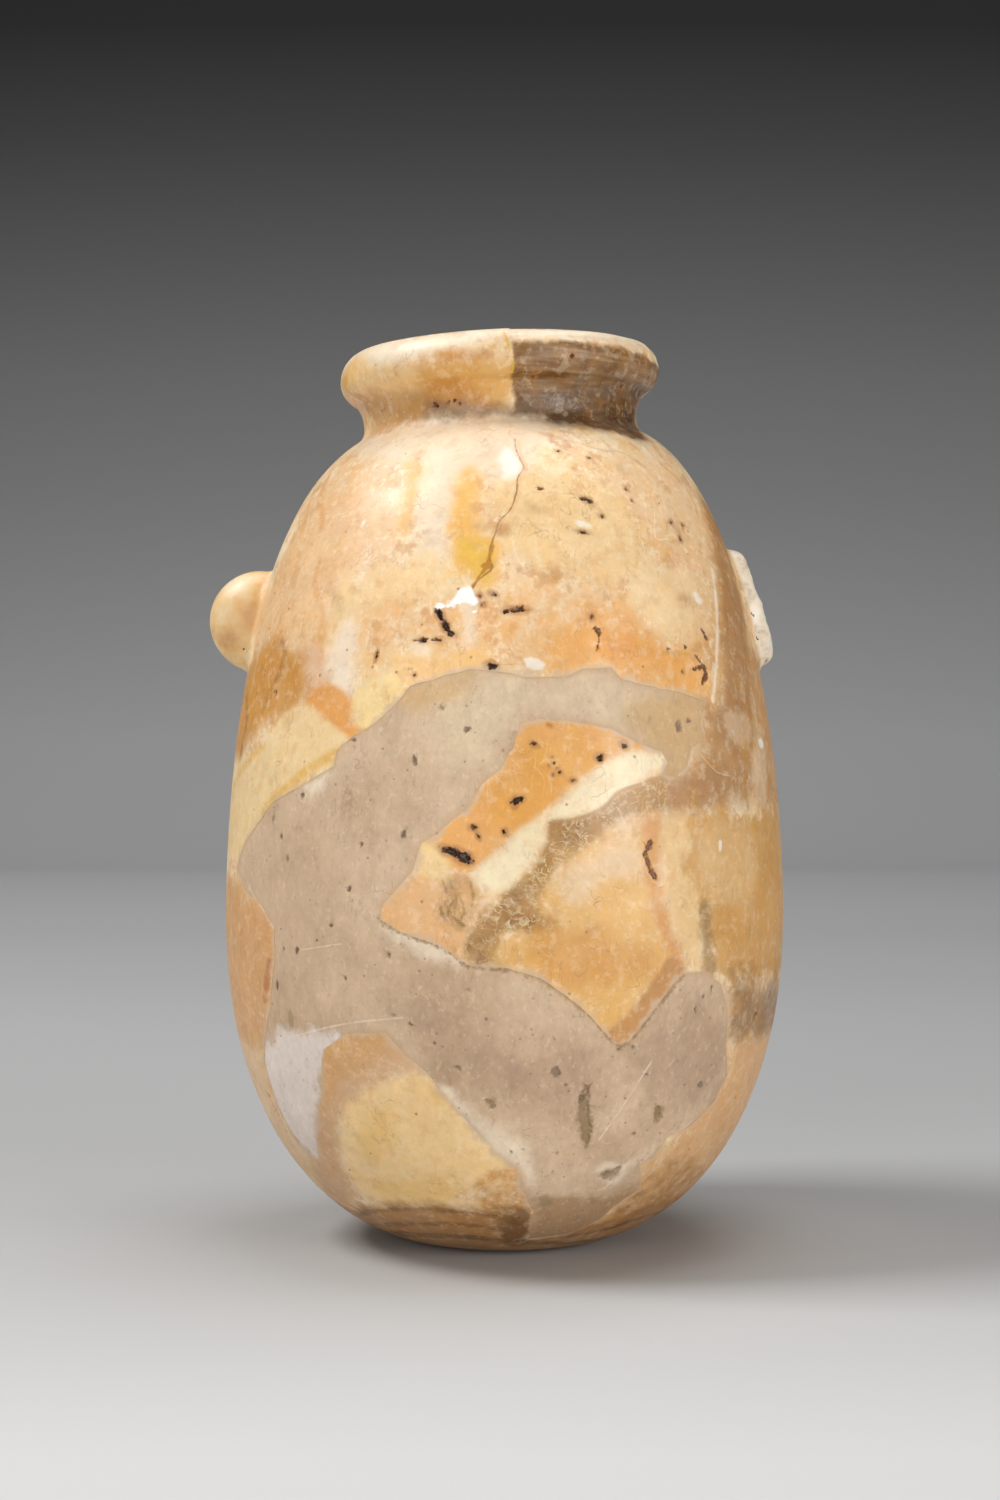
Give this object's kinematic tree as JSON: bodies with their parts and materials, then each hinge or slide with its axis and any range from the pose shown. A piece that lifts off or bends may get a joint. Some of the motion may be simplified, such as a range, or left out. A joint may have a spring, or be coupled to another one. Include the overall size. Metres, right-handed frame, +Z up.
{
  "type": "alabastron",
  "caption": "Baggy stone alabastron with a short neck, everted lip, small lug handles and a plaster-filled break; hollow, and it stands on a small flat foot.",
  "frame": {"origin": "middle of the small flat that the vessel stands on", "axes": "+Z up through the mouth; -Y is the front, where the plaster fill shows; the whole lug handle is towards -X and the chipped one towards +X"},
  "size_m": [0.1248, 0.1208, 0.1928],
  "materials": {
    "banded_calcite": "worn satin polish, slightly translucent, banded and pitted",
    "beige_plaster": "matt, with small air bubbles and scratches"
  },
  "bodies": {
    "root": {"stone_vessel": "banded_calcite", "plaster_fill": "beige_plaster"}
  },
  "joints": []
}
